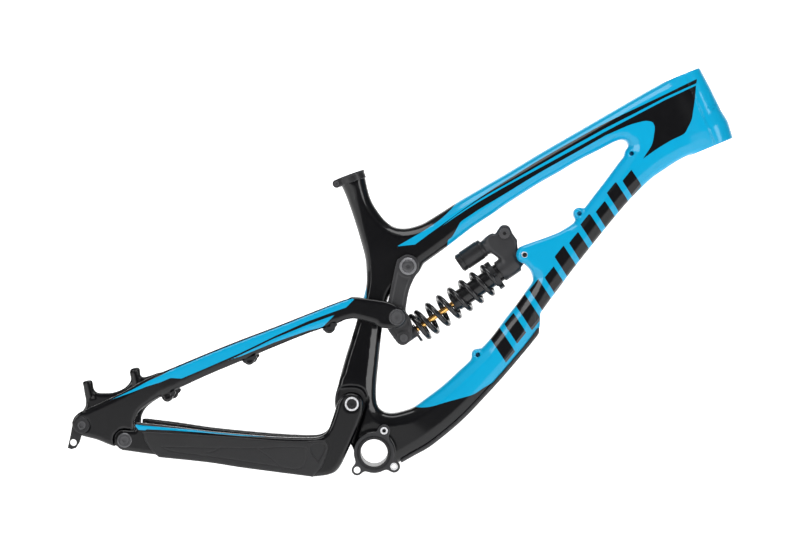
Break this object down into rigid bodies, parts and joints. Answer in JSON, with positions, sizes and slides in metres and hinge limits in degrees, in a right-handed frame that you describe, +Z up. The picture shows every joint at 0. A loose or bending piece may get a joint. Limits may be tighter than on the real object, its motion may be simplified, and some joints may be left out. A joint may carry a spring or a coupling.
{
  "type": "bicycle frame",
  "caption": "Full-suspension downhill bicycle frame with a carbon front triangle, four-bar rear end and coil shock.",
  "frame": {"origin": "centre of the bottom bracket shell", "axes": "+X forwards, +Z up, +Y to the rider's left; the drive side is -Y"},
  "size_m": [1.0035, 0.183, 0.6196],
  "materials": {
    "blue_shell": "gloss",
    "black_shell": "gloss",
    "guard_rubber": "matte",
    "black_alloy": "satin",
    "grey_alloy": "satin",
    "silver_alloy": "satin",
    "bearing_steel": "polished",
    "spring_wire": "gloss",
    "gold_shaft": "polished",
    "bump_rubber": "matte",
    "black_steel": "satin"
  },
  "bodies": {
    "front_triangle": {"head_tube": "blue_shell", "top_tube": "blue_shell", "down_tube": "blue_shell", "seat_tube": "black_shell", "pivot_housing": "black_shell", "bb_sleeve": "silver_alloy", "chain_guide_plate": "grey_alloy", "chain_guide_inserts": "silver_alloy", "seat_clamp_collar": "black_alloy", "seat_clamp_bolt": "bearing_steel", "down_tube_guard": "guard_rubber", "cable_clamp_screws": "black_steel", "main_pivot_bearings": "bearing_steel", "rocker_pivot_bearings": "bearing_steel", "upper_shock_bolt": "bearing_steel"},
    "chainstay_arms": {"chainstay": "black_shell", "chainstay_guard": "guard_rubber", "main_pivot_axle": "silver_alloy", "rear_pivot_bolts": "grey_alloy"},
    "seatstay_arms": {"seatstay": "black_shell", "rear_pivot_bearings": "bearing_steel", "derailleur_hanger": "black_alloy", "rear_axle": "black_alloy", "axle_nut": "grey_alloy", "seatstay_pivot_bolts": "grey_alloy", "hose_clips": "black_shell"},
    "rocker": {"rocker_link": "black_alloy", "rocker_pivot_axle": "grey_alloy", "rocker_pivot_washers": "bearing_steel", "link_bearings": "bearing_steel", "lower_shock_bolts": "black_steel"},
    "shock_body": {"shock_head": "black_alloy", "upper_eye_bushing": "silver_alloy", "damper_tube": "black_alloy", "seal_head": "black_alloy", "reservoir": "black_alloy", "reservoir_cap": "black_alloy", "coil_spring": "spring_wire"},
    "shock_shaft": {"damper_shaft": "gold_shaft", "piston": "bearing_steel", "bump_stop": "bump_rubber", "spring_perch": "black_alloy", "lower_eyelet": "black_alloy", "lower_eye_bushing": "silver_alloy"},
    "spring_collar": {"preload_collar": "black_alloy"},
    "compression_adjuster": {"compression_dial": "grey_alloy"},
    "rebound_adjuster": {"rebound_dial": "grey_alloy"}
  },
  "joints": [
    {"name": "main_pivot", "type": "hinge", "parent": "front_triangle", "child": "chainstay_arms", "pos_m": [-0.0336, 0, 0.0735], "axis": [0, 1, 0], "range_deg": [0, 27.9]},
    {"name": "rear_pivot", "type": "hinge", "parent": "chainstay_arms", "child": "seatstay_arms", "pos_m": [-0.3733, 0, 0.0206], "axis": [0, -1, 0], "range_deg": [0, 6.3]},
    {"name": "rocker_pivot", "type": "hinge", "parent": "front_triangle", "child": "rocker", "pos_m": [0.0513, 0, 0.281], "axis": [0, -1, 0], "range_deg": [0, 39.8]},
    {"name": "shock_swing", "type": "hinge", "parent": "front_triangle", "child": "shock_body", "pos_m": [0.2278, 0, 0.2982], "axis": [0, -1, 0], "range_deg": [0, 9.2]},
    {"name": "shock_stroke", "type": "slide", "parent": "shock_body", "child": "shock_shaft", "axis": [0.8239, 0, 0.5667], "range_m": [0, 0.0666], "stiffness_N_per_m": 70000, "deforming": ["coil_spring"]},
    {"name": "preload_turn", "type": "hinge", "parent": "shock_body", "child": "spring_collar", "pos_m": [0.2278, 0, 0.2982], "axis": [0.8239, 0, 0.5667], "range_deg": [0, 360]},
    {"name": "compression_clicks", "type": "hinge", "parent": "shock_body", "child": "compression_adjuster", "pos_m": [0.1975, -0.016, 0.331], "axis": [0, -1, 0], "range_deg": [0, 300]},
    {"name": "rebound_clicks", "type": "hinge", "parent": "shock_body", "child": "rebound_adjuster", "pos_m": [0.208, 0.018, 0.277], "axis": [0, 1, 0], "range_deg": [0, 300]}
  ],
  "couplings": [
    {"joint": "rocker_pivot", "follows": "main_pivot", "ratio": 1.4255},
    {"joint": "rear_pivot", "follows": "main_pivot", "ratio": 0.2245},
    {"joint": "shock_swing", "follows": "main_pivot", "ratio": 0.3279},
    {"joint": "shock_stroke", "follows": "main_pivot", "m_per_rad": 0.1366}
  ]
}
